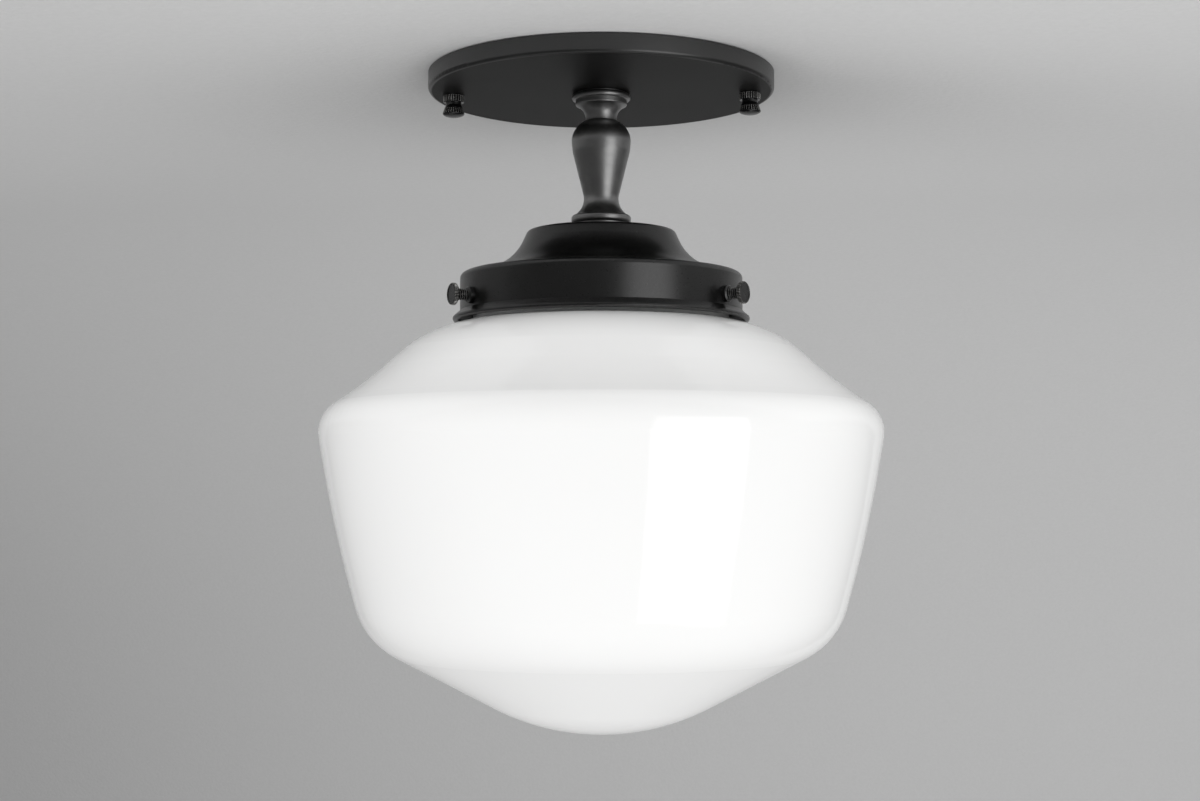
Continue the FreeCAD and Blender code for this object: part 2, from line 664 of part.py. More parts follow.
def socket_body():
    """Porcelain: a head over a slimmer skirt, bored for the shell."""
    skirt_top = PORCELAIN_Z - PORCELAIN_HEAD
    body = turned([
        (0, PORCELAIN_Z, 0),
        (PORCELAIN_R, PORCELAIN_Z, PORCELAIN_TOP_FILLET),
        (PORCELAIN_R, skirt_top, PORCELAIN_HEAD_FILLET),
        (PORCELAIN_WAIST_R, skirt_top, PORCELAIN_STEP_FILLET),
        (PORCELAIN_WAIST_R, PORCELAIN_END_Z, PORCELAIN_MOUTH_FILLET),
        (SHELL_R + SLIP_GAP, PORCELAIN_END_Z, 0),
        (SHELL_R + SLIP_GAP, FLOOR_Z, 0),
        (0, FLOOR_Z, 0),
    ])
    cuts = []
    for side in SIDES:
        cuts.append(rod(BRACKET_SCREW_R + THREAD_GAP, PORCELAIN_Z - BRACKET_SCREW_DEPTH - SEAT_GAP,
                        PORCELAIN_Z, side * BRACKET_SCREW_X))
        cuts.append(rod(LEAD_R + SLIP_GAP, FLOOR_Z, PORCELAIN_Z, 0, side * LEAD_HOLE_Y))
        cuts.append(rod(RIVET_R + THREAD_GAP, FLOOR_Z, PORCELAIN_Z, 0, side * SHELL_RIVET_RADIUS))
    cuts.append(rod(RIVET_R + THREAD_GAP, FLOOR_Z, PORCELAIN_Z, CONTACT_RIVET_X))
    return body.cut(cuts)


def socket_shell():
    """Thin screw shell, drawn with a flange against the porcelain's floor."""
    mouth = PORCELAIN_END_Z + SEAT_GAP
    path = [(SHELL_R, mouth, 0), (SHELL_R, FLOOR_Z, SHELL_WALL), (SHELL_FLANGE_HOLE_R, FLOOR_Z, 0)]
    cuts = [rod(RIVET_R + THREAD_GAP, FLOOR_Z - SHELL_WALL, FLOOR_Z, 0, side * SHELL_RIVET_RADIUS)
            for side in SIDES]
    return spun(path, -SHELL_WALL).cut(cuts)


def rivet(under, x=0, y=0):
    """Rivet through the porcelain's floor with its head under a sheet."""
    shank = rod(RIVET_R, under, PORCELAIN_Z, x, y)
    return shank.fuse(rod(RIVET_HEAD_R, under - RIVET_HEAD, under, x, y))


def socket_contact():
    """Brass tongue that bears on the bulb's tip."""
    thick = CONTACT_THICK
    dip = CONTACT_Z
    profile = [
        (CONTACT_START_X, FLOOR_Z), (CONTACT_BEND_X, FLOOR_Z), (0, dip + thick), (CONTACT_NOSE, dip + thick),
        (CONTACT_NOSE, dip), (0, dip), (CONTACT_BEND_X, FLOOR_Z - thick), (CONTACT_START_X, FLOOR_Z - thick),
    ]
    return strip(profile, CONTACT_WIDTH).cut(rod(RIVET_R + THREAD_GAP, dip, FLOOR_Z, CONTACT_RIVET_X))


def lead(side):
    """Lamp lead from the porcelain up through the pipe to the ceiling box."""
    route = [
        point(LEAD_HOLE_Y, PORCELAIN_Z - LEAD_STUB),
        point(LEAD_HOLE_Y, PORCELAIN_Z + LEAD_STUB),
        point(LEAD_BORE_Y, PIPE_END_Z - SEAT_GAP),
        point(LEAD_BORE_Y, 0),
    ]
    bends = [0]
    for before, corner, after in zip(route, route[1:], route[2:]):
        back = before - corner
        ahead = after - corner
        bends.append(LEAD_BEND * min(back.Length, ahead.Length) * math.tan(back.getAngle(ahead) / 2))
    bends.append(0)
    path = Part.Wire(rounded_path([(place.x, place.z, bend) for place, bend in zip(route, bends)]))
    section = Part.Wire(Part.makeCircle(LEAD_R, route[0], FreeCAD.Vector(0, 0, 1)))
    tube = path.makePipeShell([section], True, True)
    tube.rotate(FreeCAD.Vector(0, 0, 0), FreeCAD.Vector(0, 0, 1), side * 90)
    print("lead: volume %.1f against %.1f" % (tube.Volume, math.pi * LEAD_R ** 2 * path.Length))
    return tube


# ---- light bulb -----------------------------------------------------------------

def bulb_tip():
    """Centre contact of the bulb."""
    return rod(BULB_TIP_R, BULB_TIP_Z - BULB_TIP_HEIGHT, BULB_TIP_Z)


def bulb_insulator():
    """Dark cone between the tip and the threaded base."""
    top = BULB_TIP_Z - BULB_TIP_HEIGHT
    return turned([
        (0, top, 0),
        (BULB_INSULATOR_TOP_R, top, 0),
        (BULB_INSULATOR_END_R, BASE_TOP_Z, 0),
        (0, BASE_TOP_Z, 0),
    ])


def bulb_base():
    """Threaded base, outside its thread."""
    return turned([
        (0, BASE_TOP_Z, 0),
        (BULB_BASE_R, BASE_TOP_Z, BULB_BASE_FILLET),
        (BULB_BASE_R, BASE_END_Z, 0),
        (0, BASE_END_Z, 0),
    ])


def bulb_housing():
    """Housing that flares from the base to the globe."""
    return turned([
        (0, BASE_END_Z, 0),
        (BULB_COLLAR_R, BASE_END_Z, BULB_COLLAR_FILLET),
        (BULB_MIDDLE_R, (BASE_END_Z + SEAM_Z) / 2, BULB_HOUSING_FILLET),
        (BULB_HOUSING_R, SEAM_Z, 0),
        (0, SEAM_Z, 0),
    ])


def bulb_globe():
    """Hollow frosted globe under the housing."""
    centre_z = SEAM_Z - BULB_GLOBE_RISE
    ball = Part.makeSphere(BULB_GLOBE_R, FreeCAD.Vector(0, 0, centre_z))
    hollow = Part.makeSphere(BULB_GLOBE_R - BULB_GLOBE_WALL, FreeCAD.Vector(0, 0, centre_z))
    below = rod(BULB_GLOBE_R, centre_z - BULB_GLOBE_R, SEAM_Z)
    return ball.common(below).cut(hollow)


# ---- build ----------------------------------------------------------------------

os.makedirs("parts", exist_ok=True)

export("crossbar", crossbar())
export("canopy_screws", canopy_screws())
export("ground_screw", ground_screw())
export("canopy", canopy())
export("cap_nut_left", cap_nut(-1))
export("cap_nut_right", cap_nut(1))
export("canopy_lock_washer", toothed_washer(CANOPY_SEAT_Z))
export("canopy_lock_nut", locknut(CANOPY_SEAT_Z + WASHER_THICK, CANOPY_NUT_THICK))
export("stem_pipe", stem_pipe())
export("stem_collar", stem_collar())
export("stem_vase", stem_vase())
export("fitter", fitter())
export("fitter_bosses", fitter_bosses())
export("fitter_lock_washer", toothed_washer(FITTER_SEAT_Z - WASHER_THICK))
export("fitter_lock_nut", locknut(FITTER_NUT_END_Z, FITTER_NUT_THICK))
for number in range(SCREW_COUNT):
    export("thumbscrew_%d" % (number + 1), thumbscrew(number))
export("shade", shade())
export("socket_bushing", socket_bushing())
export("socket_bracket", socket_bracket())
export("bracket_screws", bracket_screws())
export("socket_body", socket_body())
export("socket_shell", socket_shell())
export("shell_rivets", [rivet(FLOOR_Z - SHELL_WALL, 0, side * SHELL_RIVET_RADIUS) for side in SIDES])
export("socket_contact", socket_contact())
export("contact_rivet", rivet(FLOOR_Z - CONTACT_THICK, CONTACT_RIVET_X))
export("lead_black", lead(-1))
export("lead_white", lead(1))
export("bulb_tip", bulb_tip())
export("bulb_insulator", bulb_insulator())
export("bulb_base", bulb_base())
export("bulb_housing", bulb_housing())
export("bulb_globe", bulb_globe())
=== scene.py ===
import math

import bmesh
import bpy
import numpy as np
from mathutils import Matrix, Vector


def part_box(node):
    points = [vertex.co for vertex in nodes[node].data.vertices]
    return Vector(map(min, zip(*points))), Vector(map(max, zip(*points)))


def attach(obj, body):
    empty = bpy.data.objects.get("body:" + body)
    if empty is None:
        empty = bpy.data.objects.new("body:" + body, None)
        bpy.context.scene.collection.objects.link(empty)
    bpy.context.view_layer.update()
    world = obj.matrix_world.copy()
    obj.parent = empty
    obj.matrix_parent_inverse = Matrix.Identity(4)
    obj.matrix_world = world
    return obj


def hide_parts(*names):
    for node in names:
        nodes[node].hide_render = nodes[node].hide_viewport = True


# Semi flush ceiling light with an opal schoolhouse glass, put together from the ceiling
# down.  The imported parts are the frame, in metres; the sizes written here are in mm.

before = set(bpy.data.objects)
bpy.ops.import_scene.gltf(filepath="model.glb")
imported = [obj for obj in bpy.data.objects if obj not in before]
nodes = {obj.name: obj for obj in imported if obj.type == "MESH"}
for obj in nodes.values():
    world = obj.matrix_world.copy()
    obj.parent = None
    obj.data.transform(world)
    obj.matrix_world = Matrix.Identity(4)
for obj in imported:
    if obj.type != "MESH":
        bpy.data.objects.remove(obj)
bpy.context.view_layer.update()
MM = 0.001


# ---- crossbar and ground screw ---------------------------------------------------
# A zinc plated steel strap that two screws hold to the ceiling box.  The ground screw
# is dyed green and sits in its own tapped hole.

def new_material(name, **values):
    """A material with one Principled shader; a value that is the same all over is set on its own socket."""
    material = bpy.data.materials.new(name)
    material.use_nodes = True
    shader = material.node_tree.nodes["Principled BSDF"]
    for label, value in values.items():
        shader.inputs[label.replace("_", " ")].default_value = value
    return material, material.node_tree, shader


def place(tree, kind, settings=None, **wires):
    """Adds a node to a tree: its properties are set from settings, its sockets from wires.  A wire has its
    socket's name, or n and the socket's number."""
    node = tree.nodes.new(kind)
    for key, value in (settings or {}).items():
        setattr(node, key, value)
    for label, value in wires.items():
        numbered = label[0] == "n" and label[1:].isdigit()
        target = node.inputs[int(label[1:]) if numbered else label.replace("_", " ")]
        if isinstance(value, bpy.types.NodeSocket):
            tree.links.new(value, target)
        else:
            target.default_value = value
    return node


def compute(tree, operation, *values):
    """One step of arithmetic on numbers or sockets."""
    wires = {"n%d" % number: value for number, value in enumerate(values)}
    return place(tree, "ShaderNodeMath", {"operation": operation}, **wires).outputs[0]


def noise(tree, point, scale, detail):
    """Cloudy noise over a point; a larger scale makes smaller clouds."""
    return place(tree, "ShaderNodeTexNoise", Vector=point, Scale=scale, Detail=detail).outputs[0]


def new_group(name, inputs, outputs):
    """An empty shader group: inputs are (name, default) pairs and a default of None is a vector."""
    tree = bpy.data.node_groups.new(name, "ShaderNodeTree")
    for label, default in inputs:
        kind = "NodeSocketVector" if default is None else "NodeSocketFloat"
        socket = tree.interface.new_socket(name=label, in_out="INPUT", socket_type=kind)
        if default is not None:
            socket.default_value = default
    for label in outputs:
        tree.interface.new_socket(name=label, in_out="OUTPUT", socket_type="NodeSocketFloat")
    return tree, tree.nodes.new("NodeGroupInput"), tree.nodes.new("NodeGroupOutput")


def ramp(tree, value, low, high, start, end):
    """Maps a value from low..high to start..end, held at both ends."""
    return place(tree, "ShaderNodeMapRange", Value=value, From_Min=low, From_Max=high,
                 To_Min=start, To_Max=end).outputs["Result"]


NOISE_SPAN = (0.3, 0.7)      # nearly all of a noise lies between these


def from_noise(tree, value, start=0.0, end=1.0):
    """Spreads a noise over start..end."""
    return ramp(tree, value, *NOISE_SPAN, start, end)


def finish_shader(tree, shader, colours, tone, roughness, height, depth):
    """Wires a surface: two colours mixed by tone, a roughness unless it is the same all over, and a
    height as a bump so many metres deep."""
    first, second = ((*colour, 1) for colour in colours)
    mix = place(tree, "ShaderNodeMix", {"data_type": "RGBA"}, Factor=tone, n6=first, n7=second)
    tree.links.new(mix.outputs[2], shader.inputs["Base Color"])
    if roughness is not None:
        tree.links.new(roughness, shader.inputs["Roughness"])
    bump = place(tree, "ShaderNodeBump", Height=height, Distance=depth)
    tree.links.new(bump.outputs["Normal"], shader.inputs["Normal"])


def object_point(tree):
    """Where a point of the piece lies, in metres."""
    return place(tree, "ShaderNodeTexCoord").outputs["Object"]


def plating_group():
    """Electroplate: slow clouds of lighter and duller metal, and fine rubbed lines along X."""
    tree, entry, leave = new_group("plating", [("Point", None), ("Cloud size", 0.006)], ["Tone", "Lines"])
    per_metre = compute(tree, "DIVIDE", 1.0, entry.outputs["Cloud size"])
    clouds = noise(tree, entry.outputs["Point"], per_metre, 5.0)
    along_x = place(tree, "ShaderNodeMapping", Vector=entry.outputs["Point"], Scale=(150, 3500, 3500))
    lines = noise(tree, along_x.outputs[0], 1.0, 2.0)
    tree.links.new(clouds, leave.inputs["Tone"])
    tree.links.new(lines, leave.inputs["Lines"])
    return tree


plating = plating_group()


def plated(name, dark, light, dull, cloud, depth=0.000004):
    """A plated metal: dark and light are its two tones, dull is its middle roughness."""
    material, tree, shader = new_material(name, Metallic=1.0)
    plate = place(tree, "ShaderNodeGroup", {"node_tree": plating}, Point=object_point(tree), Cloud_size=cloud)
    tone = from_noise(tree, plate.outputs["Tone"])
    rough = from_noise(tree, plate.outputs["Tone"], dull + 0.06, dull - 0.06)
    finish_shader(tree, shader, (dark, light), tone, rough, plate.outputs["Lines"], depth)
    return material


zinc = plated("zinc_plate", (0.44, 0.44, 0.42), (0.68, 0.67, 0.64), 0.38, 0.005)
green_zinc = plated("green_zinc", (0.015, 0.13, 0.04), (0.04, 0.27, 0.09), 0.34, 0.003)


def dress(material, *names):
    """Gives CAD nodes their finish."""
    for name in names:
        mesh = nodes[name].data
        mesh.materials.clear()
        mesh.materials.append(material)


dress(zinc, "crossbar", "canopy_lock_washer")
dress(green_zinc, "ground_screw")


# ---- canopy screws ---------------------------------------------------------------
# Two 8-32 flat-head screws, zinc plated, sunk flush in the bar.  They point down
# through the canopy, and the knurled cap nuts run up on their rolled threads.

THREAD_PITCH = 25.4 / 32
THREAD_DEPTH = 0.42
RECESS_ARM = 0.42            # half the width of an arm of the cross recess
RECESS_FLANK = 0.15          # how far the flanks of an arm lean
RECESS_REACH = 1.9
RECESS_TOE = 0.6             # the end of an arm, where it rises to the face
RECESS_DEPTH = 1.3
FLAT_HEAD_RATIO = 0.44       # the head's height over its radius
FLAT_HEAD_RIM = 0.1
SHANK_R = 2.08
FINE_STEP = 0.13             # rows this close show the thread
SKIN = 0.05                  # a point this close to a surface counts as on it


def finely(section, step):
    """The same outline with its runs cut into lengths of at most step."""
    cuts = [np.linspace(a, b, max(1, math.ceil(np.linalg.norm(b - a) / step)), endpoint=False)
            for a, b in zip(section, section[1:])]
    return np.concatenate(cuts + [section[-1:]])


def circle(columns):
    """Angles at even steps once round."""
    return np.arange(columns) * 2 * np.pi / columns


def turned(section, columns, relief=None):
    """Points of an outline turned once round Z: (r cos a, r sin a, h) with r and h from the outline,
    each moved by what relief(r, h, a) gives."""
    angle = circle(columns)
    radius = np.repeat(section[:, :1], columns, axis=1)
    height = np.repeat(section[:, 1:], columns, axis=1)
    if relief is not None:
        out, up = relief(radius, height, angle)
        radius = radius + out
        height = height + up
    return np.stack([radius * np.cos(angle), radius * np.sin(angle), height], axis=-1)


def build(name, grids, sharp=32.0, crests=None):
    """One mesh from grids of points in mm, each closed round its columns.  Poles and seams are welded,
    faces point outwards, and edges sharper than the angle stay sharp."""
    points, faces = [], []
    first = 0
    for grid in grids:
        rows, columns, _ = grid.shape
        index = first + np.arange(rows * columns).reshape(rows, columns)
        beside = np.roll(index, -1, axis=1)
        faces.append(np.stack([index[:-1], beside[:-1], beside[1:], index[1:]], axis=-1).reshape(-1, 4))
        points.append(grid.reshape(-1, 3) * MM)
        first += rows * columns
    mesh = bpy.data.meshes.new(name)
    mesh.from_pydata(np.concatenate(points).tolist(), [], np.concatenate(faces).tolist())
    if crests is not None:
        mesh.attributes.new("crest", "FLOAT", "POINT").data.foreach_set("value", np.concatenate(crests))
    solid = bmesh.new()
    solid.from_mesh(mesh)
    bmesh.ops.remove_doubles(solid, verts=solid.verts, dist=1e-7)
    bmesh.ops.recalc_face_normals(solid, faces=solid.faces)
    solid.to_mesh(mesh)
    solid.free()
    mesh.polygons.foreach_set("use_smooth", np.ones(len(mesh.polygons), bool))
    mesh.set_sharp_from_angle(angle=math.radians(sharp))
    piece = bpy.data.objects.new(name, mesh)
    bpy.context.scene.collection.objects.link(piece)
    return piece


def stand_for(piece, node, body, material):
    """The piece takes a CAD node's place on its body, in its own finish."""
    piece.data.materials.append(material)
    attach(piece, body)
    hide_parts(node)


def thread(height, angle, pitch, depth, flat=0.25):
    """How far a thread's flank lies below its crest: a wave along the helix, flattened at crest and root."""
    wave = np.abs(2 * ((height / pitch - angle / (2 * np.pi)) % 1) - 1)
    return depth * np.clip((wave - flat) / (1 - 2 * flat), 0, 1)


def centre_of(node):
    """A node's middle, and half its size, in mm."""
    low, high = (np.array(corner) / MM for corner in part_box(node))
    return (low + high) / 2, (high - low) / 2


screws_middle, screws_half = centre_of("canopy_screws")
nut_middle, nut_half = centre_of("cap_nut_right")
head_r = screws_half[1]
head_height = head_r * FLAT_HEAD_RATIO
screw_end = screws_middle[2] - screws_half[2]


def cross_recess(radius, height, angle):
    """Thread on the shank; on the head's face a four-armed recess, deepest in the middle."""
    arm = np.minimum(np.abs(radius * np.sin(angle)), np.abs(radius * np.cos(angle)))
    inside = np.clip((RECESS_ARM - arm) / RECESS_FLANK, 0, 1)
    inside = inside * np.clip((RECESS_REACH - radius) / RECESS_TOE, 0, 1)
    on_face = height > -0.01
    on_shank = (height < -head_height) & (height > screw_end + 0.2)
    sink = np.where(on_face & (radius < RECESS_REACH), -RECESS_DEPTH * inside, 0)
    return np.where(on_shank, -thread(height, angle, THREAD_PITCH, THREAD_DEPTH), 0), sink


screw_section = np.array([
    (0, 0), (head_r - FLAT_HEAD_RIM, 0), (head_r, -FLAT_HEAD_RIM), (SHANK_R, -head_height),
    (SHANK_R, screw_end + 0.4), (SHANK_R - 0.4, screw_end), (0, screw_end)], float)
one_screw = turned(finely(screw_section, FINE_STEP), 64, cross_recess)
canopy_screws = build("cross_head_screws", [one_screw + [side * nut_middle[0], 0, 0] for side in (-1, 1)])
stand_for(canopy_screws, "canopy_screws", "root", zinc)


# ---- canopy ----------------------------------------------------------------------
# A stamped steel dish in satin black powder coat, with a very fine grain and a few
# slightly paler pinpoints where dust was in the paint.

BLACK_DEEP = (0.0018, 0.0018, 0.0018)
BLACK_RAISED = (0.0042, 0.0042, 0.0041)
GRAIN_SIZE = 0.00042         # metres
EDGE_FLOW = 0.0006           # metres over which the coat turns smoother towards an edge


def coat_group():
    """Powder coat: Height is its orange-peel grain, Tone its slow variation, Specks are rare points."""
    tree, entry, leave = new_group("satin_coat", [("Point", None), ("Grain size", 0.0004)],
                                   ["Height", "Tone", "Specks"])
    per_metre = compute(tree, "DIVIDE", 1.0, entry.outputs["Grain size"])
    point = place(tree, "ShaderNodeVectorMath", {"operation": "SCALE"},
                  Vector=entry.outputs["Point"], Scale=per_metre).outputs[0]
    grain = noise(tree, point, 1.0, 2.0)
    slow = noise(tree, point, 0.02, 3.0)
    cells = place(tree, "ShaderNodeTexVoronoi", Vector=point, Scale=0.12)
    near = ramp(tree, cells.outputs["Distance"], 0.02, 0.07, 1.0, 0.0)
    rare = compute(tree, "GREATER_THAN", cells.outputs["Color"], 0.86)
    tree.links.new(grain, leave.inputs["Height"])
    tree.links.new(slow, leave.inputs["Tone"])
    tree.links.new(compute(tree, "MULTIPLY", near, rare), leave.inputs["Specks"])
    return tree


coat = coat_group()


def satin_black(name, dull, shine, grain, edge=None):
    """The black coat: a middle roughness, a specular level and the depth of its grain in metres.  An
    edge is a radius past which the coat has flowed smooth, and how much less rough and more shiny it is."""
    material, tree, shader = new_material(name, Specular_IOR_Level=shine)
    point = object_point(tree)
    paint = place(tree, "ShaderNodeGroup", {"node_tree": coat}, Point=point, Grain_size=GRAIN_SIZE)
    tone = from_noise(tree, paint.outputs["Tone"])
    tone = compute(tree, "MULTIPLY_ADD", paint.outputs["Specks"], 12.0, tone)
    rough = from_noise(tree, paint.outputs["Height"], dull - 0.04, dull + 0.05)
    if edge:
        radius, smoother, shinier = edge
        flat = place(tree, "ShaderNodeVectorMath", {"operation": "MULTIPLY"}, n0=point, n1=(1, 1, 0))
        reach = place(tree, "ShaderNodeVectorMath", {"operation": "LENGTH"},
                      n0=flat.outputs[0]).outputs["Value"]
        inner = radius - EDGE_FLOW
        rough = compute(tree, "SUBTRACT", rough, ramp(tree, reach, inner, radius, 0.0, smoother))
        tree.links.new(ramp(tree, reach, inner, radius, shine, shine + shinier),
                       shader.inputs["Specular IOR Level"])
    finish_shader(tree, shader, (BLACK_DEEP, BLACK_RAISED), tone, rough, paint.outputs["Height"], grain)
    return material


dress(satin_black("canopy_coat", 0.50, 0.13, 0.000012, edge=(0.0626, 0.16, 0.87)), "canopy")


# ---- stem ------------------------------------------------------------------------
# A turned collar and a turned vase in oil rubbed brass that is nearly black, with the
# faint rings of the lathe.  They hang on a threaded pipe with a locknut at each end.

PIPE_PITCH = 25.4 / 27
PIPE_DEPTH = 0.5
PIPE_BORE_R = 3.3
PIPE_CHAMFER = 0.4
HEX_THREAD = 0.3             # how far a nut's bore reaches into the pipe's thread
HEX_CHAMFER = 0.9
RING_SIZE = 0.0003           # metres
RING_DEPTH = 0.0000006
OXIDE_DARK = (0.262, 0.262, 0.263)
OXIDE_LIGHT = (0.334, 0.333, 0.331)


def lathe_group():
    """Turned metal: Rings are fine lines of even height round Z, Tone is a slow change of the oxide."""
    tree, entry, leave = new_group("lathe_turned", [("Point", None), ("Ring size", 0.0004)],
                                   ["Rings", "Tone"])
    height = place(tree, "ShaderNodeSeparateXYZ", Vector=entry.outputs["Point"]).outputs["Z"]
    level = compute(tree, "DIVIDE", height, entry.outputs["Ring size"])
    wide = place(tree, "ShaderNodeVectorMath", {"operation": "SCALE"},
                 Vector=entry.outputs["Point"], Scale=60.0).outputs[0]
    drift = place(tree, "ShaderNodeSeparateXYZ", Vector=wide)
    point = place(tree, "ShaderNodeCombineXYZ", X=drift.outputs["X"], Y=drift.outputs["Y"], Z=level)
    tree.links.new(noise(tree, point.outputs[0], 1.0, 2.0), leave.inputs["Rings"])
    tree.links.new(noise(tree, entry.outputs["Point"], 150.0, 3.0), leave.inputs["Tone"])
    return tree


def oil_rubbed():
    """Darkened brass: a deep grey metal with a soft sheen."""
    material, tree, shader = new_material("oil_rubbed_brass", Metallic=1.0)
    lathe = place(tree, "ShaderNodeGroup", {"node_tree": lathe_group()},
                  Point=object_point(tree), Ring_size=RING_SIZE)
    rough = from_noise(tree, lathe.outputs["Rings"], 0.37, 0.43)
    finish_shader(tree, shader, (OXIDE_DARK, OXIDE_LIGHT), from_noise(tree, lathe.outputs["Tone"]), rough,
                  lathe.outputs["Rings"], RING_DEPTH)
    return material


pipe_middle, pipe_half = centre_of("stem_pipe")
pipe_r = pipe_half[0]
pipe_low, pipe_high = pipe_middle[2] - pipe_half[2], pipe_middle[2] + pipe_half[2]


def hex_nut(name, node):
    """A hexagonal nut on the pipe with chamfered corners: the flats cut into a round bar."""
    middle, half = centre_of(node)
    apothem, corner_r = half[1], half[0]
    low, high = middle[2] - half[2], middle[2] + half[2]
    bore_r = pipe_r - HEX_THREAD
    face_r = corner_r - HEX_CHAMFER
    section = finely(np.array([
        (bore_r, low), (face_r, low), (corner_r, low + HEX_CHAMFER / 2), (corner_r, high - HEX_CHAMFER / 2),
        (face_r, high), (bore_r, high), (bore_r, low)], float), 0.25)

    def flats(radius, height, angle):
        reach = apothem / np.cos((angle + np.pi / 6) % (np.pi / 3) - np.pi / 6)
        return np.minimum(radius, np.maximum(reach, bore_r)) - radius, 0 * height

    stand_for(build(name, [turned(section, 144, flats)]), node, "root", zinc)


def pipe_thread(radius, height, angle):
    """Thread on the outside only."""
    return np.where(radius > pipe_r - SKIN, -thread(height, angle, PIPE_PITCH, PIPE_DEPTH), 0), 0 * height


dress(oil_rubbed(), "stem_collar", "stem_vase")
pipe_section = finely(np.array([
    (PIPE_BORE_R, pipe_low), (pipe_r - PIPE_CHAMFER, pipe_low), (pipe_r, pipe_low + PIPE_CHAMFER),
    (pipe_r, pipe_high - PIPE_CHAMFER), (pipe_r - PIPE_CHAMFER, pipe_high), (PIPE_BORE_R, pipe_high),
    (PIPE_BORE_R, pipe_low)], float), 0.2)
threaded_pipe = build("threaded_pipe", [turned(pipe_section, 48, pipe_thread)])
stand_for(threaded_pipe, "stem_pipe", "root", zinc)
hex_nut("canopy_hex_nut", "canopy_lock_nut")


# ---- cap nuts --------------------------------------------------------------------
# Two blackened brass nuts, turned in one piece: a knurled ring, a neck, a knob with a
# knurled band, and a dome.  The knurl's crests are bright bare metal: partly rubbed wear, partly a painted
# highlight.

NUT_RING = (3.85, 2.7)       # radius and length
NUT_NECK = (2.85, 1.0)
NUT_FLARE = (3.4, 1.15)
NUT_BAND = 1.9
NUT_BORE = (2.13, 5.9)
NUT_CORNER = 0.2
NUT_TEETH = 26
NUT_COLUMNS = NUT_TEETH * 6
KNURL_DEPTH = 0.3
FINE_GRAIN_SIZE = 0.0003     # metres
BRASS_BLACK = (0.003, 0.003, 0.003)
BRASS_BRIGHT = (0.82, 0.81, 0.78)


def knurl(angle, teeth, depth):
    """A straight knurl: V grooves between sharp crests.  Gives the depth below the crest."""
    return depth * (1 - np.abs(2 * ((angle * teeth / (2 * np.pi)) % 1) - 1))


def blackened():
    """Blackened brass, glossier than the coat.  The attribute crest turns its crests to bright bare metal,
    partly rubbed wear and partly a painted highlight.
    """
    material, tree, shader = new_material("blackened_brass", Specular_IOR_Level=0.8)
    paint = place(tree, "ShaderNodeGroup", {"node_tree": coat},
                  Point=object_point(tree), Grain_size=FINE_GRAIN_SIZE)
    crest = place(tree, "ShaderNodeAttribute", {"attribute_name": "crest"}).outputs["Fac"]
    # Where the crest value is high the surface is bright bare metal: partly rubbed wear, partly a painted
    # highlight.
    rubbed_and_highlight = ramp(tree, crest, 0.74, 1.0, 0.0, 1.0)
    rough = from_noise(tree, paint.outputs["Tone"], 0.2, 0.3)
    tree.links.new(rubbed_and_highlight, shader.inputs["Metallic"])
    finish_shader(tree, shader, (BRASS_BLACK, BRASS_BRIGHT), rubbed_and_highlight, rough, paint.outputs["Height"], 0.000005)
    return material


black_brass = blackened()


def cap_nut_grid():
    """The nut upright under its seat at height 0, with its blind bore."""
    ring_r, ring_length = NUT_RING
    neck_r, neck_length = NUT_NECK
    flare_r, flare_length = NUT_FLARE
    bore_r, bore_depth = NUT_BORE
    knob_r = nut_half[0]
    ring_end = -ring_length
    neck_end = ring_end - neck_length
    knob_top = neck_end - flare_length
    band_end = knob_top - NUT_BAND
    end = -2 * nut_half[2]
    sweep = np.linspace(0, np.pi / 2, 9)
    dome = np.stack([knob_r * np.cos(sweep), band_end + (end - band_end) * np.sin(sweep)], axis=1)
    dome[-1, 0] = 0
    lines = [(0, -bore_depth), (bore_r, -bore_depth), (bore_r, 0), (ring_r - NUT_CORNER, 0),
             (ring_r, -NUT_CORNER), (ring_r, ring_end + NUT_CORNER), (ring_r - NUT_CORNER, ring_end),
             (neck_r, ring_end), (neck_r, neck_end), (flare_r, knob_top)]
    section = finely(np.concatenate([np.array(lines, float), dome]), 0.2)

    def relief(radius, height, angle):
        on_ring = (radius > ring_r - SKIN) & (height > ring_end)
        skin = np.interp(height, [band_end, knob_top], [knob_r, flare_r])
        on_band = (radius > skin - 0.02) & (height > band_end - 0.1) & (height < knob_top - 0.1)
        return np.where(on_ring | on_band, -knurl(angle, NUT_TEETH, KNURL_DEPTH), 0), 0 * height

    grid = turned(section, NUT_COLUMNS, relief)
    # Crest values, high on the knurl's crests and nil in its grooves: they paint the bright metal, partly
    # rubbed wear and partly a painted highlight.
    full = np.repeat(section[:, :1], NUT_COLUMNS, axis=1)
    dug = full - np.hypot(grid[..., 0], grid[..., 1])
    level = np.repeat(section[:, 1:], NUT_COLUMNS, axis=1)
    knurled = relief(full, level, circle(NUT_COLUMNS) + np.pi / NUT_TEETH)[0] < 0
    return grid, (knurled * np.clip(1 - dug / KNURL_DEPTH, 0, 1)).ravel()


nut_grid, nut_crest = cap_nut_grid()
for side, name in ((-1, "left"), (1, "right")):
    seat = [side * nut_middle[0], 0, nut_middle[2] + nut_half[2]]
    nut = build("knurled_cap_nut_" + name, [nut_grid + seat], crests=[nut_crest])
    stand_for(nut, "cap_nut_" + name, "nut_" + name, black_brass)


# ---- fitter ----------------------------------------------------------------------
# A spun steel cover in the same coat: flat cap, cove, band and flared lip.  Three
# tapped bosses are set through its band, and a washer and nut hold it on the pipe.

dress(satin_black("fitter_coat", 0.31, 0.80, 0.000006), "fitter", "fitter_bosses")
dress(zinc, "fitter_lock_washer")
hex_nut("fitter_hex_nut", "fitter_lock_nut")


# ---- lampholder ------------------------------------------------------------------
# A glazed porcelain holder hangs from the pipe by a zinc plated bushing and bracket.
# Its brass screw shell is rolled from sheet, and the contact is a riveted tongue.

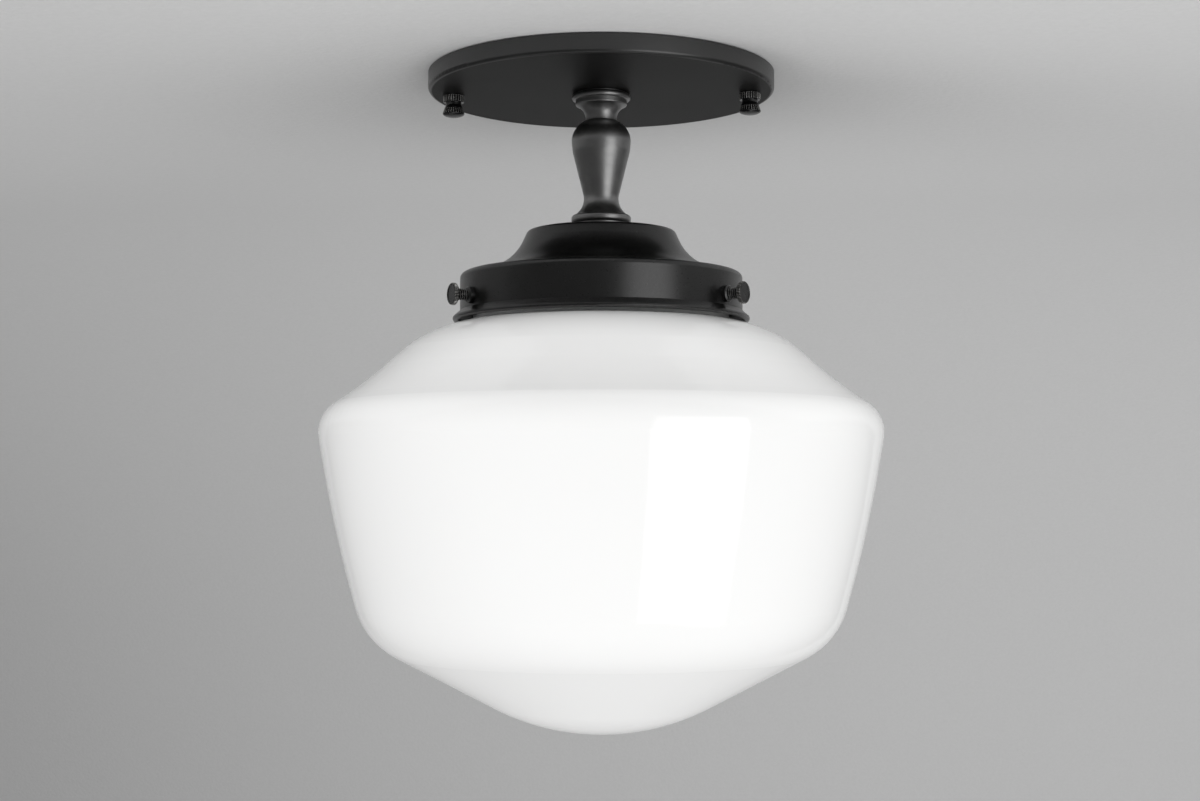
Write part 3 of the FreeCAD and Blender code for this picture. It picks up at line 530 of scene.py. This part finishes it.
BASE_PITCH = 25.4 / 7        # the bulb's thread
BASE_DEPTH = 0.75
THREAD_RUN_IN = 2            # over this length a rolled thread grows to its depth
SHELL_WALL = 0.5
SHELL_CORNER = 0.4
SHELL_PLAIN_MOUTH = 1.5
SHELL_PLAIN_TOP = 2
FLANGE_HOLE_R = 9.2
FOOT_SHANK_R = 1.5
FOOT_HEAD_HEIGHT = 1.6
FOOT_HEAD_RIM = 0.5          # the straight part of the head, under its crown
FOOT_SLOT = (0.4, 0.1, 0.6)  # half its width, the lean of its sides, and its depth


def glazed(name, dark, light, waviness):
    """Fired glaze: glossy, faintly uneven, with slow shallow waves."""
    material, tree, shader = new_material(name, Roughness=0.12, Coat_Weight=0.4, Coat_Roughness=0.05)
    slow = noise(tree, object_point(tree), 90.0, 3.0)
    finish_shader(tree, shader, (dark, light), from_noise(tree, slow), None, slow, waviness)
    return material


porcelain = glazed("porcelain_glaze", (0.74, 0.73, 0.69), (0.84, 0.83, 0.80), 0.0001)
brass = plated("plain_brass", (0.50, 0.34, 0.13), (0.74, 0.55, 0.26), 0.26, 0.004)
dress(zinc, "socket_bushing", "socket_bracket")
dress(porcelain, "socket_body")
dress(brass, "shell_rivets", "socket_contact", "contact_rivet")


def rolled(height, angle, depth):
    """A rolled bulb thread: a smooth wave along the helix, measured down from its crest."""
    return depth * (0.5 - 0.5 * np.cos(2 * np.pi * height / BASE_PITCH - angle))


shell_middle, shell_half = centre_of("socket_shell")
shell_top = shell_middle[2] + shell_half[2]
shell_mouth = shell_middle[2] - shell_half[2]
shell_r = shell_half[0]
shell_section = np.array([
    (shell_r, shell_mouth), (shell_r, shell_top - SHELL_CORNER), (shell_r - SHELL_CORNER, shell_top),
    (FLANGE_HOLE_R, shell_top), (FLANGE_HOLE_R, shell_top - SHELL_WALL),
    (shell_r - SHELL_WALL, shell_top - SHELL_WALL), (shell_r - SHELL_WALL, shell_mouth),
    (shell_r, shell_mouth)], float)


def shell_thread(radius, height, angle):
    """Both faces of the sheet follow the thread, which starts above the mouth and ends under the flange."""
    start = np.clip((height - shell_mouth - SHELL_PLAIN_MOUTH) / THREAD_RUN_IN, 0, 1)
    end = np.clip((shell_top - SHELL_PLAIN_TOP - height) / THREAD_RUN_IN, 0, 1)
    return -rolled(height, angle, BASE_DEPTH) * (start * end) * (radius > shell_r - 1), 0 * height


screw_shell = build("screw_shell", [turned(finely(shell_section, 0.35), 96, shell_thread)], sharp=50)
stand_for(screw_shell, "socket_shell", "root", brass)

feet_middle, feet_half = centre_of("bracket_screws")
foot_head_r = feet_half[1]
foot_low, foot_high = feet_middle[2] - feet_half[2], feet_middle[2] + feet_half[2]
foot_seat = foot_high - FOOT_HEAD_HEIGHT
foot_rim = foot_seat + FOOT_HEAD_RIM


def screw_slot(radius, height, angle):
    """A straight slot across the round head, cut from its face down."""
    half_width, lean, depth = FOOT_SLOT
    across = np.clip((half_width - np.abs(radius * np.sin(angle))) / lean, 0, 1)
    return 0 * radius, -depth * across * (height > foot_rim + 0.2)


crown = np.linspace(0, np.pi / 2, 10)
foot_section = np.concatenate([
    np.stack([foot_head_r * np.sin(crown), foot_rim + (foot_high - foot_rim) * np.cos(crown)], axis=1),
    [(foot_head_r, foot_seat), (FOOT_SHANK_R, foot_seat), (FOOT_SHANK_R, foot_low), (0, foot_low)]])
one_foot = turned(finely(foot_section, 0.15), 64, screw_slot)
foot_x = feet_half[0] - foot_head_r
foot_screws = build("slotted_bracket_screws", [one_foot + [side * foot_x, 0, 0] for side in (-1, 1)])
stand_for(foot_screws, "bracket_screws", "root", zinc)


# ---- lamp leads ------------------------------------------------------------------
# Two stranded leads in PVC, one black and one white.  They come out of the porcelain
# and run up inside the pipe to the ceiling.

def sleeve(name, dark, light):
    """Extruded PVC: a satin skin with faint lines along the lead."""
    material, tree, shader = new_material(name, Roughness=0.42)
    along_z = place(tree, "ShaderNodeMapping", Vector=object_point(tree), Scale=(2500, 2500, 60))
    lines = noise(tree, along_z.outputs[0], 1.0, 2.0)
    finish_shader(tree, shader, (dark, light), from_noise(tree, lines), None, lines, 0.00001)
    return material


dress(sleeve("black_sleeve", (0.012, 0.012, 0.012), (0.03, 0.03, 0.03)), "lead_black")
dress(sleeve("white_sleeve", (0.62, 0.62, 0.60), (0.76, 0.76, 0.73)), "lead_white")


# ---- light bulb ------------------------------------------------------------------
# A frosted globe on a white moulded housing, over a nickel plated base whose rolled
# thread runs in the shell.  A black insulator carries the soldered centre contact.

BASE_SHOULDER = 1.2          # the base is rounded over this height, and as far inwards
BASE_PLAIN_END = 3

nickel = plated("nickel_plate", (0.58, 0.57, 0.55), (0.80, 0.79, 0.77), 0.24, 0.006)
base_middle, base_half = centre_of("bulb_base")
base_top = base_middle[2] + base_half[2]
base_end = base_middle[2] - base_half[2]
base_r = base_half[0]
base_section = np.array([
    (0, base_top), (base_r - BASE_SHOULDER, base_top),
    (base_r - BASE_SHOULDER / 4, base_top - BASE_SHOULDER / 2), (base_r, base_top - BASE_SHOULDER),
    (base_r, base_end), (0, base_end)], float)


def base_thread(radius, height, angle):
    """The same wave as the shell's, so that the two mesh at rest."""
    start = np.clip((base_top - height) / BASE_SHOULDER, 0, 1)
    end = np.clip((height - base_end - BASE_PLAIN_END) / THREAD_RUN_IN, 0, 1)
    return -rolled(height, angle, BASE_DEPTH) * (start * end) * (radius > base_r - 0.5), 0 * height


threaded_base = build("threaded_base", [turned(finely(base_section, 0.35), 96, base_thread)], sharp=50)
stand_for(threaded_base, "bulb_base", "bulb", nickel)


def moulded(name, dark, light, dull, size, depth):
    """Moulded plastic or frosting: a fine even tooth over a slow change of tone."""
    material, tree, shader = new_material(name)
    point = object_point(tree)
    tooth = noise(tree, point, 1 / size, 2.0)
    tone = from_noise(tree, noise(tree, point, 60.0, 2.0))
    rough = from_noise(tree, tooth, dull - 0.05, dull + 0.05)
    finish_shader(tree, shader, (dark, light), tone, rough, tooth, depth)
    return material


tip_middle, tip_half = centre_of("bulb_tip")
tip_seat = tip_middle[2] - tip_half[2]
bead = np.linspace(0, np.pi / 2, 8)
tip_section = np.stack([tip_half[0] * np.sin(bead), tip_seat + 2 * tip_half[2] * np.cos(bead)], axis=1)
tip_section = np.concatenate([tip_section, [(0, tip_section[-1, 1])]])
solder_tip = build("solder_tip", [turned(finely(tip_section, 0.5), 48)])
tinned = plated("tinned_contact", (0.48, 0.47, 0.45), (0.64, 0.63, 0.60), 0.34, 0.002)
stand_for(solder_tip, "bulb_tip", "bulb", tinned)
insulator = moulded("black_insulator", (0.008, 0.008, 0.010), (0.016, 0.016, 0.018), 0.18, 0.002, 0.00001)
housing = moulded("white_housing", (0.78, 0.78, 0.77), (0.84, 0.84, 0.83), 0.38, 0.0004, 0.000006)
frosting = moulded("frosted_globe", (0.84, 0.84, 0.82), (0.88, 0.88, 0.86), 0.55, 0.0003, 0.000004)
dress(insulator, "bulb_insulator")
dress(housing, "bulb_housing")
dress(frosting, "bulb_globe")


# ---- shade -----------------------------------------------------------------------
# Mould-blown opal glass, fire polished: pure white, glossy, and so slightly wavy that
# only long reflections show it.

def opal():
    """White through and through, with a polished skin."""
    material, tree, shader = new_material("opal_glass", Roughness=0.06, IOR=1.52)
    slow = noise(tree, object_point(tree), 9.0, 1.0)
    finish_shader(tree, shader, ((0.90, 0.90, 0.895), (0.925, 0.925, 0.92)), from_noise(tree, slow), None,
                  slow, 0.0012)
    return material


dress(opal(), "shade")


# ---- thumbscrews -----------------------------------------------------------------
# Three blackened brass screws: a flat head with a straight knurl round its edge, and
# an 8-32 thread that runs through the boss to just clear of the glass neck.

screw_middle, screw_half = centre_of("thumbscrew_2")     # this one lies along +Y
screw_tip = screw_middle[1] - screw_half[1]
screw_face = screw_middle[1] + screw_half[1]
knob_r = screw_half[0]
HEAD_THICK = 1.8
HEAD_TEETH = 44
HEAD_COLUMNS = HEAD_TEETH * 4
HEAD_CHAMFER = 0.35
HEAD_RIM = (0.6, 0.8)        # how far in from the knurl the rim ends and the face begins
HEAD_DISH = 0.25             # the face lies this far inside its rim
TIP_CHAMFER = 0.5


def thumbscrew_grid():
    """The screw along Z: tip, thread, head."""
    back = screw_face - HEAD_THICK
    dish = screw_face - HEAD_DISH
    section = finely(np.array([
        (0, screw_tip), (SHANK_R - TIP_CHAMFER, screw_tip), (SHANK_R, screw_tip + TIP_CHAMFER),
        (SHANK_R, back), (knob_r - HEAD_CHAMFER, back), (knob_r, back + HEAD_CHAMFER),
        (knob_r, screw_face - HEAD_CHAMFER), (knob_r - HEAD_CHAMFER, screw_face),
        (knob_r - HEAD_RIM[0], screw_face), (knob_r - HEAD_RIM[1], dish), (0, dish)], float), FINE_STEP)

    def relief(radius, height, angle):
        on_shank = (radius > SHANK_R - SKIN) & (height > screw_tip + 0.3) & (height < back - SKIN)
        edge = np.clip((radius - knob_r + 0.45) / 0.3, 0, 1) * (height > back - 0.01)
        out = -knurl(angle, HEAD_TEETH, KNURL_DEPTH) * edge
        return out - np.where(on_shank, thread(height, angle, THREAD_PITCH, THREAD_DEPTH), 0), 0 * height

    grid = turned(section, HEAD_COLUMNS, relief)
    # Crest values, high on the knurl's crests and lower on the thread's crests: they paint the bright metal,
    # partly rubbed wear and partly a painted highlight.
    full = np.repeat(section[:, :1], HEAD_COLUMNS, axis=1)
    dug = full - np.hypot(grid[..., 0], grid[..., 1])
    on_edge = full > knob_r - 0.3
    on_thread = np.abs(full - SHANK_R) < SKIN
    ridge = np.where(on_edge, 1 - knurl(circle(HEAD_COLUMNS), HEAD_TEETH, 1.0), 0)
    ridge = ridge + on_thread * 0.8 * np.clip(1 - dug / THREAD_DEPTH, 0, 1)
    return grid, ridge.ravel()


screw_grid, screw_crest = thumbscrew_grid()
for number, direction in enumerate((-30, 90, 210), start=1):
    outward = np.array([math.cos(math.radians(direction)), math.sin(math.radians(direction)), 0])
    axes = np.stack([np.cross([0, 0, 1], outward), [0, 0, 1], outward])
    laid = screw_grid @ axes + [0, 0, screw_middle[2]]
    screw = build("knurled_screw_%d" % number, [laid], crests=[screw_crest])
    stand_for(screw, "thumbscrew_%d" % number, "screw_%d" % number, black_brass)


# ---- ceiling, lights and camera --------------------------------------------------
# A pale grey paper sweep is the ceiling and curves down behind the light.  One tall soft
# light stands to the right and in front; wide fills, which no reflection shows, even it out,
# and a small lamp over the ceiling lights the opening behind the canopy.

PAPER = (0.65, 0.65, 0.65)
SWEEP_HALF_WIDTH = 0.66
SWEEP_FRONT = -0.13
SWEEP_BEND_START = 0.30
SWEEP_BEND_RADIUS = 0.75
SWEEP_DROP = 2.0
CEILING_GAP = 0.0004
BOX_HOLE_R = 0.055           # the ceiling box's opening, hidden behind the canopy
ROOM_LIGHT = 0.17            # what the room sends to a plain surface
ROOM_MIRRORED = 0.12         # what a polished one shows of it
ROOM_SEEN = 0.62             # and what lies past the paper's edges
LIGHTS_AIM = (0, 0, -0.13)


def sweep():
    """A sheet: flat overhead, a quarter circle, then straight down.  It is drawn from below only, with a
    round hole over the canopy."""
    turn = np.linspace(0, np.pi / 2, 25)
    across = np.concatenate([[SWEEP_FRONT], SWEEP_BEND_START + SWEEP_BEND_RADIUS * np.sin(turn),
                             [SWEEP_BEND_START + SWEEP_BEND_RADIUS]])
    up = np.concatenate([[0], SWEEP_BEND_RADIUS * (np.cos(turn) - 1), [-SWEEP_DROP]]) + CEILING_GAP
    rows = [[(side * SWEEP_HALF_WIDTH, y, z) for side in (-1, 1)] for y, z in zip(across, up)]
    points = np.array(rows).reshape(-1, 3)
    faces = [(2 * k, 2 * k + 2, 2 * k + 3, 2 * k + 1) for k in range(len(across) - 1)]
    mesh = bpy.data.meshes.new("paper_sweep")
    mesh.from_pydata(points.tolist(), [], faces)
    mesh.polygons.foreach_set("use_smooth", np.ones(len(faces), bool))
    sheet = bpy.data.objects.new("paper_sweep", mesh)
    bpy.context.scene.collection.objects.link(sheet)
    material, tree, shader = new_material("grey_paper", Roughness=0.9, Specular_IOR_Level=0.1)
    point = object_point(tree)
    fibres = noise(tree, point, 420.0, 4.0)
    shaded = tuple(0.97 * part for part in PAPER)
    finish_shader(tree, shader, (shaded, PAPER), from_noise(tree, fibres), None, fibres, 0.0002)
    clear = place(tree, "ShaderNodeBsdfTransparent")
    above = place(tree, "ShaderNodeNewGeometry").outputs["Backfacing"]
    reach = place(tree, "ShaderNodeVectorMath", {"operation": "LENGTH"}, n0=point).outputs["Value"]
    hole = compute(tree, "LESS_THAN", reach, BOX_HOLE_R)
    mix = place(tree, "ShaderNodeMixShader", n0=compute(tree, "MAXIMUM", above, hole),
                n1=shader.outputs[0], n2=clear.outputs[0])
    tree.links.new(mix.outputs[0], tree.nodes["Material Output"].inputs["Surface"])
    sheet.data.materials.append(material)


sweep()

scene = bpy.context.scene
world = bpy.data.worlds.new("soft_room")
world.use_nodes = True
air = world.node_tree
ray = place(air, "ShaderNodeLightPath")
level = ramp(air, ray.outputs["Is Glossy Ray"], 0.0, 1.0, ROOM_LIGHT, ROOM_MIRRORED)
level = ramp(air, ray.outputs["Is Camera Ray"], 0.0, 1.0, level, ROOM_SEEN)
air.links.new(level, air.nodes["Background"].inputs["Strength"])
air.nodes["Background"].inputs["Color"].default_value = (1, 1, 1, 1)
scene.world = world


def softbox(name, stand, width, height, power, mirrored=False, spread=180):
    """A rectangular area light turned to the shade, in metres, watts and degrees, with or without a
    reflection of itself."""
    data = bpy.data.lights.new(name, "AREA")
    data.shape = "RECTANGLE"
    data.size = width
    data.size_y = height
    data.energy = power
    data.spread = math.radians(spread)
    lamp = bpy.data.objects.new(name, data)
    scene.collection.objects.link(lamp)
    lamp.location = stand
    lamp.rotation_euler = (Vector(stand) - Vector(LIGHTS_AIM)).to_track_quat("Z", "Y").to_euler()
    lamp.visible_glossy = mirrored
    lamp.visible_camera = False


softbox("key_softbox", (0.92, -1.05, -0.39), 1.0, 1.56, 8.0, mirrored=True)
softbox("left_fill", (-1.2, -0.45, -0.45), 1.2, 1.4, 3.2, spread=80)
softbox("right_fill", (1.25, -0.15, -0.55), 1.2, 1.4, 7.0)
softbox("low_fill", (0.0, -0.25, -0.9), 0.9, 0.9, 3.3)
softbox("high_fill", (0.0, -0.8, 0.5), 1.3, 0.7, 6.0)
softbox("box_light", (0.12, 0.2, 0.7), 0.4, 0.4, 4.0)

# The camera looks 2.5 degrees round from the front and 3 degrees up, as the photograph does.
LENS = 55.18
CAMERA_DISTANCE = 670.8
CAMERA_HEIGHT = -155.5
CAMERA_ROUND = math.radians(2.5)
CAMERA_UP = math.radians(3.048)
CAMERA_SIDE = -0.45
camera = bpy.data.objects.new("camera", bpy.data.cameras.new("camera"))
scene.collection.objects.link(camera)
camera.data.lens = LENS
camera.data.sensor_width = 36
camera.data.clip_start = 0.01
across = np.array([math.cos(CAMERA_ROUND), math.sin(CAMERA_ROUND), 0])
back = np.array([math.sin(CAMERA_ROUND), -math.cos(CAMERA_ROUND), 0])
camera.location = (back * CAMERA_DISTANCE + across * CAMERA_SIDE + [0, 0, CAMERA_HEIGHT]) * MM
camera.rotation_euler = (math.pi / 2 + CAMERA_UP, 0, CAMERA_ROUND)
scene.camera = camera
scene.view_settings.view_transform = "Standard"
